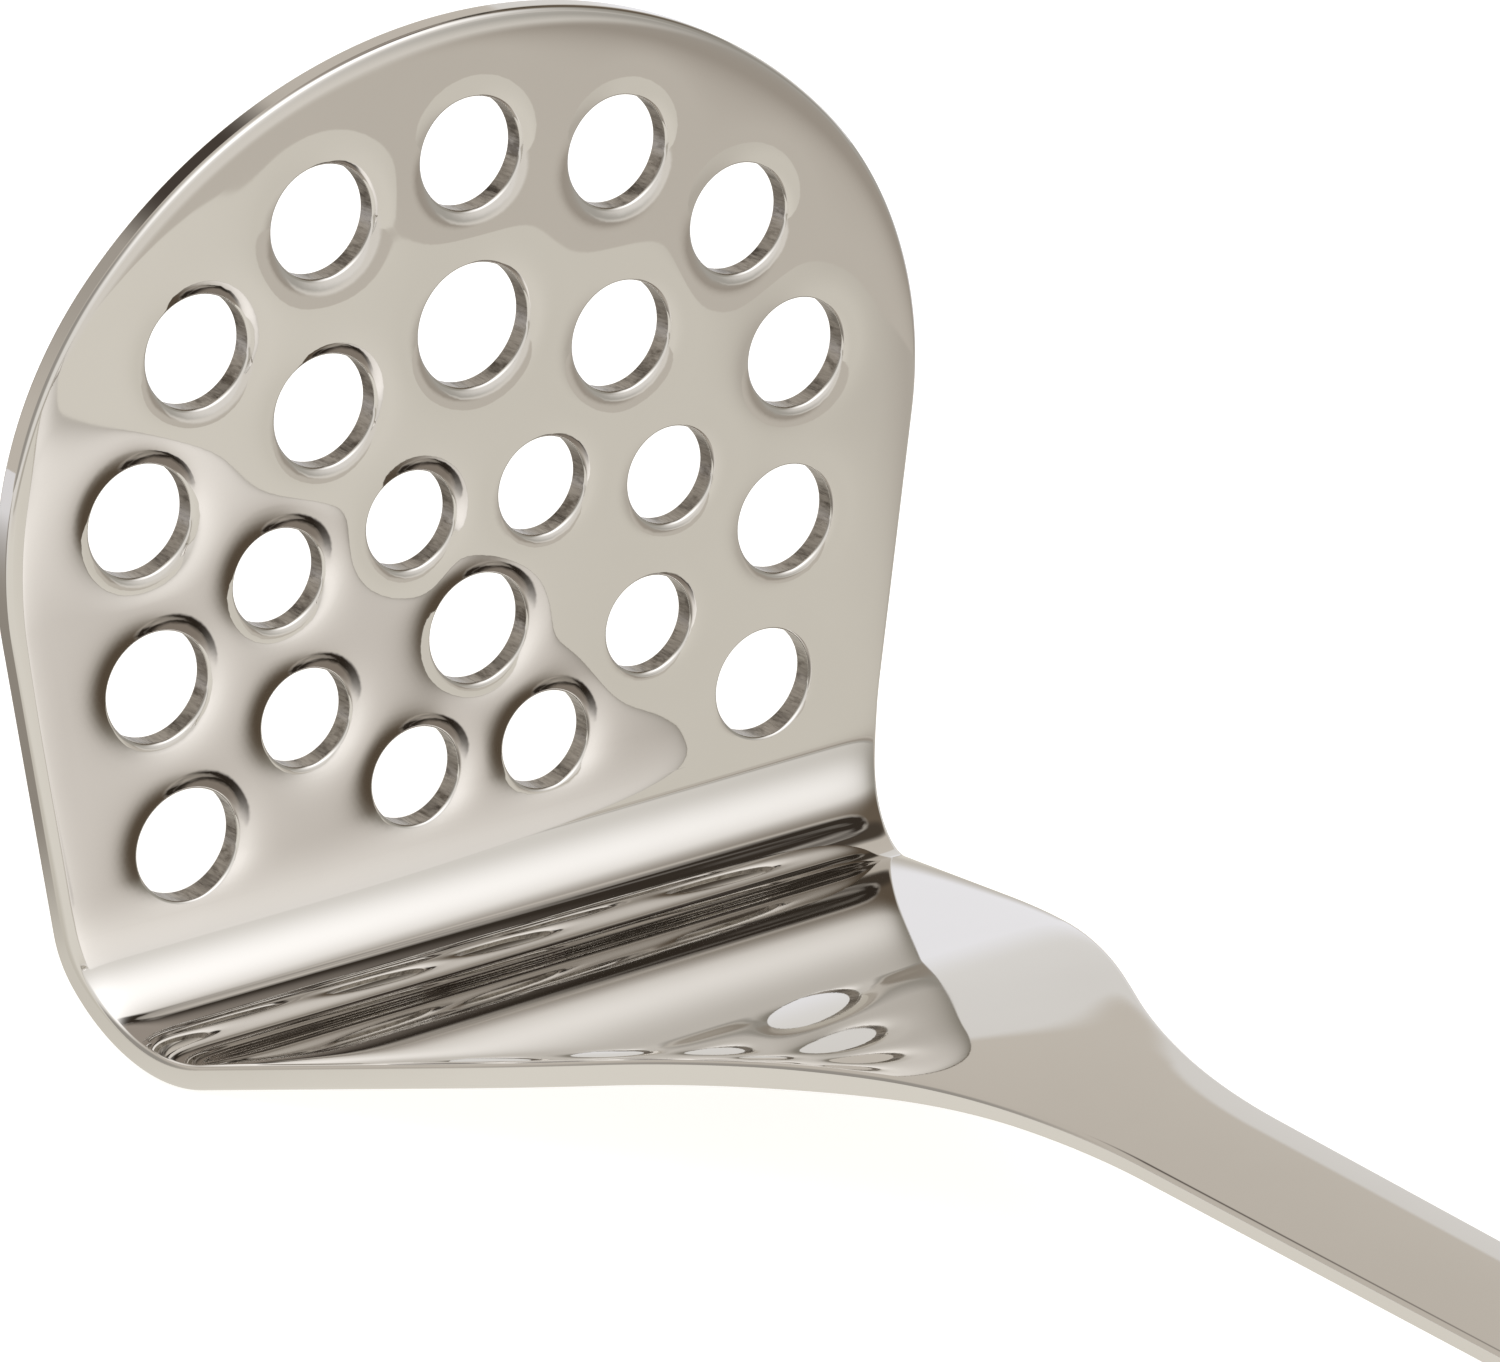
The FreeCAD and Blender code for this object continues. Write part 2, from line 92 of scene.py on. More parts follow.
RIM_WIDE, RIM_DEEP = 0.5, 0.38       # rounding of the front edge: along the face, and down the side
BACK_ROUND = 0.3
WORN_SLOPE, WORN_REACH = 0.22, 1.1   # polishing wears the face down near its edges: slope there, and fading
WORN_ROWS = (4.0, 3.2, 2.5, 1.95, 1.5, 1.15, 0.85, 0.6)   # where the mesh follows that, in from the edge
LIP_WIDE, LIP_DEEP = 0.28, 0.18      # the punch draws the face down round each hole
LIP_TURN = math.radians(80)          # how far the lip turns before the punched wall starts
LIP_LEAST, FOOT_STRIP = 0.55, 0.06   # a lip next to the foot: its least share of the depth, and the gap left
BACK_LIP, WALL_TAPER = 0.18, 0.02    # the hole at the back: its rounding, and how much wider it is
DISH_SLOPE, DISH_REACH = 0.27, 1.15  # a shallow dish outside the lip: its slope there, and how fast it fades
EASE_REACH, EASE_END = 4.0, 14.0     # the bend starts gradually, over the first each way; gone by the second
CROWN_DROP = 0.8                     # the shank's top is crowned: how far its edges lie below its middle
WAVES = 0.022, 0.012                 # heights of two crossing sets of long low waves, left by polishing
FACE_FADE = 4.0                      # dishes and waves fade out this near to the outline and the foot
FOOT_BLEND = 4.0                     # over this height the side's normals turn level, to meet the neck
GRIP_SEAM, SEAM_WIDTH = 0.10, 0.011  # the step in at the grip's seams, and its width in radians


def smooth(share):
    share = np.clip(share, 0, 1)
    return share * share * (3 - 2 * share)


# sizes of the mesh's faces: along the plate's outline, along the neck, and on the plate's front and back
PLATE_PITCH, NECK_PITCH, FRONT_PITCH, BACK_PITCH = 0.8, 0.55, 0.7, 3.0
HOLE_CLEAR, BORDER_CLEAR = 0.4, 0.45   # how near the even points come to a hole and to the border, in pitches

# ---------------------------------------------------------------- from the upright frame to the scene

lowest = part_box("masher_head")[0]
TURN = Matrix.Rotation(REST_TILT, 4, "Y")
bend_middle = TURN @ Vector((BEND_INNER, 0, BEND_UP))
SHIFT = Vector((lowest.x / MM + BEND_UP - bend_middle.x, 0, BEND_UP - bend_middle.z))
UPRIGHT = Matrix.Translation(SHIFT) @ TURN


def sheet_frame(along):
    """Place and heading of the sheet's middle at distances along it from the start of the bend."""
    along = np.asarray(along, float)
    radius = BEND_INNER + THICK / 2
    crank_turn = BEND_TURN - math.pi / 2 - SHANK_RISE
    x = np.full(along.shape, -THICK / 2)
    z = np.full(along.shape, BEND_UP)
    heading = np.full(along.shape, -math.pi / 2)
    curvature = np.zeros(along.shape)
    rest = along.copy()
    runs = ((radius * BEND_TURN, 1 / radius), (NECK_RUN, 0), (CRANK_ARC * crank_turn, -1 / CRANK_ARC),
            (math.inf, 0))
    for length, bend in runs:
        step = np.clip(rest, 0, length)
        if bend:
            turned = heading + bend * step
            x += (np.sin(turned) - np.sin(heading)) / bend
            z -= (np.cos(turned) - np.cos(heading)) / bend
            heading = turned
        else:
            x += step * np.cos(heading)
            z += step * np.sin(heading)
        curvature = np.where(rest > 0, bend, curvature)
        rest = rest - step
    return x, z, heading, curvature


def rounded_line(points, radii, pitch):
    """Points and unit directions along straight runs joined by tangent arcs, about pitch apart."""
    places, ways = [], []

    def run(a, b):
        length = np.linalg.norm(b - a)
        if length < 1e-9:
            return
        way = (b - a) / length
        count = max(1, round(length / pitch))
        for step in np.arange(count) / count:
            places.append(a + (b - a) * step)
            ways.append(way)

    start = np.array(points[0], float)
    for before, corner, after, radius in zip(points, points[1:], points[2:], radii):
        before, corner, after = (np.array(p, float) for p in (before, corner, after))
        way_in = (corner - before) / np.linalg.norm(corner - before)
        way_out = (after - corner) / np.linalg.norm(after - corner)
        turn = math.atan2(way_in[0] * way_out[1] - way_in[1] * way_out[0], way_in @ way_out)
        reach = radius * math.tan(abs(turn) / 2)
        arc_start = corner - way_in * reach
        run(start, arc_start)
        side = np.array([-way_in[1], way_in[0]]) * math.copysign(1, turn)
        centre = arc_start + side * radius
        count = max(6, round(radius * abs(turn) / pitch))
        for angle in np.arange(count) / count * turn:
            c, s = math.cos(angle), math.sin(angle)
            spoke = -side * radius
            places.append(centre + np.array([c * spoke[0] - s * spoke[1], s * spoke[0] + c * spoke[1]]))
            ways.append(np.array([c * way_in[0] - s * way_in[1], s * way_in[0] + c * way_in[1]]))
        start = corner + way_out * reach
    run(start, np.array(points[-1], float))
    places.append(np.array(points[-1], float))
    ways.append(ways[-1])
    return np.array(places), np.array(ways)


# ---------------------------------------------------------------- a mesh under construction


class Skin:
    """Vertices, their exact normals and faces, in the upright frame and in millimetres."""

    def __init__(self):
        self.places, self.normals, self.faces, self.kinds = [], [], [], []
        self.count = 0   # vertices so far

    def add(self, places, normals):
        places, normals = np.asarray(places, float), np.asarray(normals, float)
        self.places.append(places.reshape(-1, 3))
        self.normals.append(normals.reshape(-1, 3))
        start = self.count
        self.count += len(self.places[-1])
        return start

    def grid(self, places, normals, kind=0, closed=False):
        """Quads over an array of rows; each face is turned to agree with its normals."""
        places, normals = np.asarray(places, float), np.asarray(normals, float)
        rows, columns = places.shape[:2]
        start = self.add(places, normals)
        last = columns if closed else columns - 1
        r, c = np.meshgrid(np.arange(rows - 1), np.arange(last), indexing="ij")
        n = (c + 1) % columns
        quads = np.stack([r * columns + c, (r + 1) * columns + c, (r + 1) * columns + n, r * columns + n], -1)
        self.turn_and_keep(quads.reshape(-1, 4) + start, kind)

    def turn_and_keep(self, faces, kind):
        """Keeps faces, each turned so that its front agrees with its corners' normals."""
        places, normals = np.vstack(self.places), np.vstack(self.normals)
        corner = places[faces]
        if faces.shape[1] == 4:
            facing = np.cross(corner[:, 2] - corner[:, 0], corner[:, 3] - corner[:, 1])
        else:
            facing = np.cross(corner[:, 1] - corner[:, 0], corner[:, 2] - corner[:, 0])
        wrong = np.einsum("ij,ij->i", facing, normals[faces].sum(1)) < 0
        faces = faces.copy()
        faces[wrong] = faces[wrong][:, ::-1]
        self.faces += [tuple(int(i) for i in face) for face in faces]
        self.kinds += [kind] * len(faces)

    def build(self, name, materials, matrix=UPRIGHT):
        places, normals = np.vstack(self.places), np.vstack(self.normals)
        normals = normals / np.linalg.norm(normals, axis=1, keepdims=True)
        turn = np.array(matrix.to_3x3())
        shift = np.array(matrix.translation)
        mesh = bpy.data.meshes.new(name)
        mesh.from_pydata(((places @ turn.T + shift) * MM).tolist(), [], self.faces)
        mesh.polygons.foreach_set("material_index", self.kinds)
        mesh.shade_smooth()
        for material in materials:
            mesh.materials.append(material)
        mesh.validate()
        mesh.normals_split_custom_set_from_vertices((normals @ turn.T).tolist())
        piece = bpy.data.objects.new(name, mesh)
        bpy.context.scene.collection.objects.link(piece)
        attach(piece, "root")
        return piece


# ---------------------------------------------------------------- plate


# the centres of the outline's top and shoulder arcs, and the lean of the spoke on which they meet
TOP_CENTRE = PLATE_HEIGHT - TOP_ARC
FOOT_CORNER = np.array([FOOT_HALF, BEND_UP])
SIDE_WAY = np.array([math.cos(SIDE_ANGLE), -math.sin(SIDE_ANGLE)])
LEAN = SIDE_ANGLE + math.asin((SIDE_WAY @ FOOT_CORNER - SHOULDER_ARC + TOP_CENTRE * math.sin(SIDE_ANGLE))
                              / (TOP_ARC - SHOULDER_ARC))
SHOULDER = np.array([0, TOP_CENTRE]) + (TOP_ARC - SHOULDER_ARC) * np.array([math.sin(LEAN), math.cos(LEAN)])


def plate_outline(pitch):
    """Points and outward normals of the plate's outline, from its right foot over the top to the left."""
    side_top = SHOULDER + SIDE_WAY * SHOULDER_ARC
    places, normals = [], []
    count = round(np.linalg.norm(side_top - FOOT_CORNER) / pitch)
    for step in np.arange(count) / count:
        places.append(FOOT_CORNER + (side_top - FOOT_CORNER) * step)
        normals.append(SIDE_WAY)
    count = round(SHOULDER_ARC * (math.pi / 2 - LEAN + SIDE_ANGLE) / pitch)
    for angle in np.linspace(-SIDE_ANGLE, math.pi / 2 - LEAN, count, endpoint=False):
        way = np.array([math.cos(angle), math.sin(angle)])
        places.append(SHOULDER + SHOULDER_ARC * way)
        normals.append(way)
    count = round(TOP_ARC * LEAN / pitch)
    for angle in np.linspace(math.pi / 2 - LEAN, math.pi / 2, count):
        way = np.array([math.cos(angle), math.sin(angle)])
        places.append(np.array([0, TOP_CENTRE]) + TOP_ARC * way)
        normals.append(way)
    places, normals = np.array(places), np.array(normals)
    mirror = np.array([-1, 1])
    return (np.vstack([places, places[-2::-1] * mirror]), np.vstack([normals, normals[-2::-1] * mirror]))


OUTLINE, OUTWARD = plate_outline(PLATE_PITCH)


def inward(distance):
    """The outline moved inwards. At the two feet it moves straight across, to meet the neck."""
    blend = smooth((OUTLINE[:, 1] - BEND_UP) / FOOT_BLEND)[:, None]
    across = np.stack([np.sign(OUTWARD[:, 0]), np.zeros(len(OUTWARD))], 1)
    return OUTLINE - distance * (across * (1 - blend) + OUTWARD * blend)


def edge_gap(points):
    """How far points are inside the plate's outline, leaving out its foot."""
    y, z = np.abs(points[:, 0]), points[:, 1]
    bearing = np.arctan2(z - SHOULDER[1], y - SHOULDER[0])
    to_side = (FOOT_CORNER[0] - y) * SIDE_WAY[0] + (FOOT_CORNER[1] - z) * SIDE_WAY[1]
    to_shoulder = SHOULDER_ARC - np.hypot(y - SHOULDER[0], z - SHOULDER[1])
    to_top = TOP_ARC - np.hypot(y, z - TOP_CENTRE)
    at_top = y * math.cos(LEAN) < (z - TOP_CENTRE) * math.sin(LEAN)
    return np.select([bearing < -SIDE_ANGLE, at_top], [to_side, to_top], to_shoulder)


def worn(gap):
    """How far the polishing has worn the face down at a distance from its edge, and the slope there."""
    fall = np.exp(-gap / WORN_REACH)
    return WORN_SLOPE * WORN_REACH * fall, WORN_SLOPE * fall


def ease_in(inside_bend):
    """How far the inner face stands proud at a distance into the bend, so that its curve starts gradually."""
    peak = EASE_REACH**2 / (12 * BEND_INNER)
    before = np.clip(inside_bend + EASE_REACH, 0, EASE_REACH) ** 3
    after = EASE_REACH**3 - (EASE_REACH - np.clip(inside_bend, 0, EASE_REACH)) ** 3
    rise = peak * (before + after) / EASE_REACH**3
    return rise * (1 - smooth((inside_bend - EASE_REACH) / (EASE_END - EASE_REACH)))


def lip_width(hole, angles):
    """How wide the lip is in each direction: less where the hole is next to the foot."""
    _, up, radius = hole
    down = np.clip(-np.sin(angles), 1e-3, None)
    room = (up - BEND_UP - FOOT_STRIP) / down - radius
    return np.minimum(LIP_WIDE, np.where(np.sin(angles) < 0, room, LIP_WIDE))


def relief(points):
    """Height of the plate's front face: a dish round each hole, long low waves from polishing, wear along the
    edges, and the rise where the bend starts."""
    y, z = points[:, 0], points[:, 1]
    height = np.zeros(len(points))
    for across, up, radius in HOLES:
        beyond = np.hypot(y - across, z - up) - radius - LIP_WIDE
        height -= DISH_SLOPE * DISH_REACH * np.exp(-np.clip(beyond, -LIP_WIDE, None) / DISH_REACH)
    height += WAVES[0] * np.sin(y / 9.0 + 0.6 * np.sin(z / 11.0)) * np.cos(z / 13.0 + 0.8)
    height += WAVES[1] * np.sin(z / 5.5 + 1.7 * np.sin(y / 15.0))
    gap = edge_gap(points)
    return height * smooth(np.minimum(gap, z - BEND_UP) / FACE_FADE) - worn(gap)[0] + ease_in(BEND_UP - z)


def relief_slope(points):
    step = 0.02
    dy = (relief(points + [step, 0]) - relief(points - [step, 0])) / (2 * step)
    dz = (relief(points + [0, step]) - relief(points - [0, step])) / (2 * step)
    return dy, dz


HOLE_STEPS = 96
ANGLES = np.arange(HOLE_STEPS) / HOLE_STEPS * 2 * math.pi


def beyond_ring(points, hole, ring):
    """How far points are outside a ring of points round a hole."""
    across, up, _ = hole
    gap = np.hypot(points[:, 0] - across, points[:, 1] - up)
    angle = np.arctan2(points[:, 1] - up, points[:, 0] - across) % (2 * math.pi)
    width = np.hypot(ring[:, 0] - across, ring[:, 1] - up)
    return gap - np.interp(angle, np.append(ANGLES, 2 * math.pi), np.append(width, width[0]))


def flat_face(skin, x, border, rings, pitch, front):
    """Fills a face between its border and the rings round the holes with even triangles."""
    points = list(border)
    edges = [(i, (i + 1) % len(points)) for i in range(len(points))]
    for ring in rings:
        start = len(points)
        points += [tuple(p) for p in ring]
        edges += [(start + i, start + (i + 1) % len(ring)) for i in range(len(ring))]
    grid = []   # rows of even points, every other row set over by half a step
    rows = np.arange(BEND_UP + pitch * 0.6, PLATE_HEIGHT, pitch * 0.866)
    for index, z in enumerate(rows):
        for y in np.arange(-50, 50, pitch):
            grid.append((y + (index % 2) * pitch / 2, z))
    grid = np.array(grid)
    keep = np.ones(len(grid), bool)
    for hole, ring in zip(HOLES, rings):
        keep &= beyond_ring(grid, hole, ring) > pitch * HOLE_CLEAR
    keep &= inside(grid, np.array(border), pitch * BORDER_CLEAR)
    points += [tuple(p) for p in grid[keep]]
    verts, _, tris, *_ = delaunay_2d_cdt([Vector(p) for p in points], edges, [], 0, 1e-7)
    flat = np.array([v[:] for v in verts])
    tris = np.array([t for t in tris if len(t) == 3])
    middle = flat[tris].mean(1)
    keep = enclosed(middle, np.array(border))
    for hole, ring in zip(HOLES, rings):
        keep &= beyond_ring(middle, hole, ring) > -0.01
    tris = tris[keep]
    if front:
        dy, dz = relief_slope(flat)
        places = np.column_stack([x + relief(flat), flat])
        normals = np.column_stack([np.ones(len(flat)), -dy, -dz])
    else:
        places = np.column_stack([np.full(len(flat), x), flat])
        normals = np.column_stack([np.full(len(flat), -1.0), np.zeros((len(flat), 2))])
    start = skin.add(places, normals)
    skin.turn_and_keep(tris + start, 0)


def inside(points, border, margin):
    """Which points are inside a closed border by at least margin. The border bulges outwards all round."""
    ahead = np.roll(border, -1, axis=0) - border
    length = np.linalg.norm(ahead, axis=1)
    ahead = ahead[length > 1e-9] / length[length > 1e-9][:, None]
    base = border[length > 1e-9]
    within = np.ones(len(points), bool)
    for (ay, az), (by, bz) in zip(ahead, base):
        within &= (ay * (points[:, 1] - bz) - az * (points[:, 0] - by)) > margin
    return within


def enclosed(points, border):
    """Which points are inside a closed border of any shape: an odd number of its edges is on their right."""
    odd = np.zeros(len(points), bool)
    y, z = points[:, 0], points[:, 1]
    for (ay, az), (by, bz) in zip(border, np.roll(border, -1, axis=0)):
        if az != bz:
            odd ^= ((az > z) != (bz > z)) & (y < ay + (z - az) * (by - ay) / (bz - az))
    return odd


def make_plate(skin):
    quarter = np.linspace(0, math.pi / 2, 13)
    rows, normals = [], []
    for distance in WORN_ROWS:
        flat = inward(distance)
        dy, dz = relief_slope(flat)
        rows.append(np.column_stack([relief(flat), flat]))
        normals.append(np.column_stack([np.ones(len(flat)), -dy, -dz]))
    for angle in quarter:                                     # front rounding
        flat = inward(RIM_WIDE * (1 - math.sin(angle)))
        rows.append(np.column_stack([relief(flat) - RIM_DEEP * (1 - math.cos(angle)), flat]))
        slope = np.column_stack(relief_slope(flat)) * math.cos(angle) / RIM_DEEP
        normals.append(np.column_stack([np.full(len(flat), math.cos(angle) / RIM_DEEP),
                                        OUTWARD * math.sin(angle) / RIM_WIDE - slope]))
    for angle in quarter[::-1]:                               # side and back rounding
        rows.append(np.column_stack([np.full(len(OUTLINE), -THICK + BACK_ROUND * (1 - math.cos(angle))),
                                     inward(BACK_ROUND * (1 - math.sin(angle)))]))
        normals.append(np.column_stack([np.full(len(OUTLINE), -math.cos(angle)), OUTWARD * math.sin(angle)]))
    skin.grid(rows, normals)

    front_rings, back_rings = [], []
    for hole in HOLES:
        across, up, radius = hole
        spoke = np.column_stack([np.cos(ANGLES), np.sin(ANGLES)])
        wide = lip_width(hole, ANGLES)[:, None]
        centre = np.array([across, up])
        deep = LIP_DEEP * np.clip(wide[:, 0] / LIP_WIDE, LIP_LEAST, 1)
        rows, normals = [], []
        for angle in np.linspace(0, LIP_TURN, 15):
            flat = centre + spoke * (radius + wide * (1 - math.sin(angle)))
            dy, dz = relief_slope(flat)
            rows.append(np.column_stack([relief(flat) - deep * (1 - math.cos(angle)), flat]))
            slope = math.tan(angle) * deep / wide[:, 0]
            normals.append(np.column_stack([np.ones(HOLE_STEPS), -dy - spoke[:, 0] * slope,
                                            -dz - spoke[:, 1] * slope]))
        front_rings.append(rows[0][:, 1:])
        skin.grid(rows, np.array(normals), closed=True)
        top = rows[-1]
        wall_rows = [top]
        bottom = np.column_stack([np.full(HOLE_STEPS, BACK_LIP - THICK),
                                  centre + spoke * (radius + WALL_TAPER)])
        for share in (0.25, 0.5, 0.75, 1.0):
            wall_rows.append(top * (1 - share) + bottom * share)
        wall_normals = [np.column_stack([np.zeros(HOLE_STEPS), -spoke])] * 5
        skin.grid(wall_rows, wall_normals, kind=1, closed=True)
        rows, normals = [], []
        for angle in np.linspace(0, math.pi / 2, 5):
            wider = WALL_TAPER + BACK_LIP * (1 - math.cos(angle))
            rows.append(np.column_stack([np.full(HOLE_STEPS, BACK_LIP * (1 - math.sin(angle)) - THICK),
                                         centre + spoke * (radius + wider)]))
            normals.append(np.column_stack([np.full(HOLE_STEPS, -math.sin(angle)), -spoke * math.cos(angle)]))
        back_rings.append(rows[-1][:, 1:])
        skin.grid(rows, normals, closed=True)

    foot = [(y, BEND_UP) for y in np.linspace(-1, 1, 36)[1:-1] * (FOOT_HALF - WORN_ROWS[0])]
    flat_face(skin, 0.0, [tuple(p) for p in inward(WORN_ROWS[0])] + foot, front_rings, FRONT_PITCH, True)
    flat_face(skin, -THICK, [tuple(p) for p in inward(BACK_ROUND)], back_rings, BACK_PITCH, False)


# ---------------------------------------------------------------- bend, neck and shank

TOP_COLUMNS = np.sin(np.linspace(-1, 1, 61) * 1.46) / math.sin(1.46)   # closer together near the edges


def make_neck(skin):
    places, ways = rounded_line(BLANK, BLANK_ARCS, NECK_PITCH)
    along, half = places[:, 0], places[:, 1]
    slope = ways[:, 1] / ways[:, 0]
    x, z, heading, curvature = sheet_frame(along)
    share = smooth((along - CROWN_FROM) / (CROWN_TO - CROWN_FROM))
    ahead = np.stack([np.cos(heading), 0 * heading, np.sin(heading)], 1)
    up = np.stack([-np.sin(heading), 0 * heading, np.cos(heading)], 1)
    right = np.array([0.0, 1.0, 0.0])
    middle = np.stack([x, 0 * x, z], 1)
    tall = THICK / 2
    eased = ease_in(along * BEND_INNER / (BEND_INNER + tall))
    columns = []   # each: across, lift, normal across, normal lift, slope of across

    def add_column(across, lift, n_across, n_lift, across_slope, top):
        if top:    # the face is worn near the edges of the neck, and crowned on the shank
            drop, fall = worn(half - np.abs(across))
            lift = lift - drop * (1 - share) - CROWN_DROP * share * (across / half) ** 2 + eased
            tilt = fall * np.sign(across) * (1 - share) + 2 * CROWN_DROP * share * across / half**2
            n_across = n_across + tilt * n_lift
        columns.append((across, lift, n_across, n_lift, across_slope))

    def corner(side, level, wide, deep, angles):
        for angle in angles:
            c, s = math.cos(angle), math.sin(angle)
            add_column(side * (half - wide + wide * c), np.full(len(half), level * (tall - deep + deep * s)),
                       np.full(len(half), side * c / wide), level * s / deep, side * slope, level > 0)

    quarter = np.linspace(0, math.pi / 2, 9)
    for step in TOP_COLUMNS:
        add_column(step * (half - RIM_WIDE), np.full(len(half), tall), 0 * half, 1.0, step * slope, True)
    corner(1, 1, RIM_WIDE, RIM_DEEP, quarter[::-1][1:])
    corner(1, -1, BACK_ROUND, BACK_ROUND, quarter)
    for step in np.linspace(1, -1, 13)[1:-1]:
        add_column(step * (half - BACK_ROUND), np.full(len(half), -tall), 0 * half, -1.0, step * slope, False)
    corner(-1, -1, BACK_ROUND, BACK_ROUND, quarter[::-1])
    corner(-1, 1, RIM_WIDE, RIM_DEEP, quarter[:-1])

    rows, normals = [], []
    for across, lift, n_across, n_lift, across_slope in columns:
        rows.append(middle + across[:, None] * right + lift[:, None] * up)
        n_ahead = -(n_across * across_slope + n_lift * np.gradient(lift, along)) / (1 - curvature * lift)
        normals.append(n_across[:, None] * right + n_lift * up + n_ahead[:, None] * ahead)
    rows, normals = np.array(rows), np.array(normals)
    skin.grid(np.swapaxes(rows, 0, 1), np.swapaxes(normals, 0, 1), closed=True)


# ---------------------------------------------------------------- materials


class Graph:
    """Shorthand for the nodes of one tree. A value is a number, a colour or another node's output."""

    def __init__(self, tree):
        self.nodes, self.links = tree.nodes, tree.links

    def find(self, kind):
        return next(node for node in self.nodes if node.type == kind)

    def add(self, kind, **settings):
        node = self.nodes.new("ShaderNode" + kind)
        for name, setting in settings.items():
            setattr(node, name, setting)
        return node

    def feed(self, socket, value):
        if isinstance(value, bpy.types.NodeSocket):
            self.links.new(value, socket)
        else:
            socket.default_value = (*value, 1) if isinstance(value, tuple) else value

    def calculate(self, operation, first, second):
        node = self.add("Math", operation=operation)
        self.feed(node.inputs[0], first)
        self.feed(node.inputs[1], second)
        return node.outputs["Value"]

    def product(self, first, second):
        return self.calculate("MULTIPLY", first, second)

    def measure(self, operation, vector, fixed):
        node = self.add("VectorMath", operation=operation)
        self.feed(node.inputs[0], vector)
        node.inputs[1].default_value = fixed
        return node.outputs["Value"]

    def split(self, vector):
        node = self.add("SeparateXYZ")
        self.feed(node.inputs["Vector"], vector)
        return node.outputs["X"], node.outputs["Y"], node.outputs["Z"]

    def fade(self, source, start, end):
        """0 at start and 1 at end, with a smooth step between them. Either may be the larger."""
        node = self.add("MapRange", interpolation_type="SMOOTHSTEP")
        self.feed(node.inputs["Value"], source)
        node.inputs["From Min"].default_value, node.inputs["From Max"].default_value = start, end
        return node.outputs["Result"]

    def mix(self, under, over, share, blend_type="MIX"):
        node = self.add("Mix", data_type="RGBA", blend_type=blend_type)
        self.feed(node.inputs["Factor"], share)
        self.feed(node.inputs["A"], under)
        self.feed(node.inputs["B"], over)
        return node.outputs["Result"]

    def noise(self, where, stretch, scale, detail=3.0, roughness=0.5, distortion=0.0):
        mapping = self.add("Mapping")
        mapping.inputs["Scale"].default_value = stretch
        self.feed(mapping.inputs["Vector"], where)
        texture = self.add("TexNoise")
        self.feed(texture.inputs["Vector"], mapping.outputs["Vector"])
        for name, value in (("Scale", scale), ("Detail", detail), ("Roughness", roughness),
                            ("Distortion", distortion)):
            texture.inputs[name].default_value = value
        return texture.outputs["Fac"]

    def ramp(self, source, low, high, start=0.3, end=0.7):
        """From low, where the source is start, to high, where it is end; both are colours or both greys."""
        node = self.add("ValToRGB")
        for element, position, value in zip(node.color_ramp.elements, (start, end), (low, high)):
            element.position = position
            element.color = (*value, 1) if isinstance(value, tuple) else (value, value, value, 1)
        self.feed(node.inputs["Fac"], source)
        return node.outputs["Color"]


class Metal(Graph):
    """A metal's material, whose patterns lie along the object's own axes."""

    def __init__(self, name):
        self.material = bpy.data.materials.new(name)
        self.material.use_nodes = True
        super().__init__(self.material.node_tree)
        self.shader = self.find("BSDF_PRINCIPLED")
        self.shader.inputs["Metallic"].default_value = 1.0
        self.where = self.add("TexCoord").outputs["Object"]

    def grain(self, *shape):
        return self.noise(self.where, *shape)

    def finish(self, colour, roughness, grain, strength, distance):
        """Sets the colour and gloss, and a bump that follows a grain."""
        self.feed(self.shader.inputs["Base Color"], colour)
        self.feed(self.shader.inputs["Roughness"], roughness)
        bump = self.add("Bump")
        bump.inputs["Strength"].default_value = strength
        bump.inputs["Distance"].default_value = distance
        self.feed(bump.inputs["Height"], grain)
        self.feed(self.shader.inputs["Normal"], bump.outputs["Normal"])
        return self.material


def polished_steel():
    """Mirror polish: faint cloudy wiping marks in the gloss, and hairlines too fine to see singly."""
    metal = Metal("polished_steel")
    cloud = metal.grain((1, 1, 1), 45, 4, 0.55, 0.4)
    wipe = metal.grain((1, 0.35, 1), 120, 5, 0.6)
    hairline = metal.grain((60, 6, 6), 60, 2, 0.5)
    return metal.finish(metal.ramp(cloud, (0.675, 0.652, 0.622), (0.695, 0.672, 0.642)),
                        metal.ramp(wipe, 0.014, 0.04), hairline, 0.02, 0.00002)


def punched_wall():
    """The sheared wall of a punched hole: dull, with marks along the way the punch went and darker flecks."""
    metal = Metal("punched_wall")
    streak = metal.grain((0.12, 1, 1), 4200, 3, 0.6)
    fleck = metal.grain((0.4, 1, 1), 900, 4, 0.65)
    colour = metal.mix(metal.ramp(streak, (0.30, 0.275, 0.25), (0.52, 0.49, 0.45)),
                       metal.ramp(fleck, (0.30, 0.27, 0.24), (1, 1, 1), 0.34, 0.5), 0.8, "MULTIPLY")
    return metal.finish(colour, metal.ramp(streak, 0.24, 0.4), streak, 0.35, 0.00005)


def satin_steel():
    """Brushed along the grip: long fine streaks in the gloss and the relief."""
    metal = Metal("satin_steel")
    brush = metal.grain((0.04, 1, 1), 2600, 3, 0.6)
    wear = metal.grain((0.6, 1, 1), 60, 4, 0.55)
    gloss = metal.product(metal.ramp(brush, 0.24, 0.36), metal.ramp(wear, 0.8, 1.1))
    return metal.finish(metal.ramp(brush, (0.50, 0.485, 0.46), (0.60, 0.585, 0.56)), gloss, brush,
                        0.25, 0.00003)


POLISHED, PUNCHED, SATIN = polished_steel(), punched_wall(), satin_steel()

# ---------------------------------------------------------------- head

head_skin = Skin()
make_plate(head_skin)
make_neck(head_skin)
head = head_skin.build("masher_head_steel", [POLISHED, PUNCHED])
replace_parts(head, "masher_head")

# ---------------------------------------------------------------- grip, on its own axis

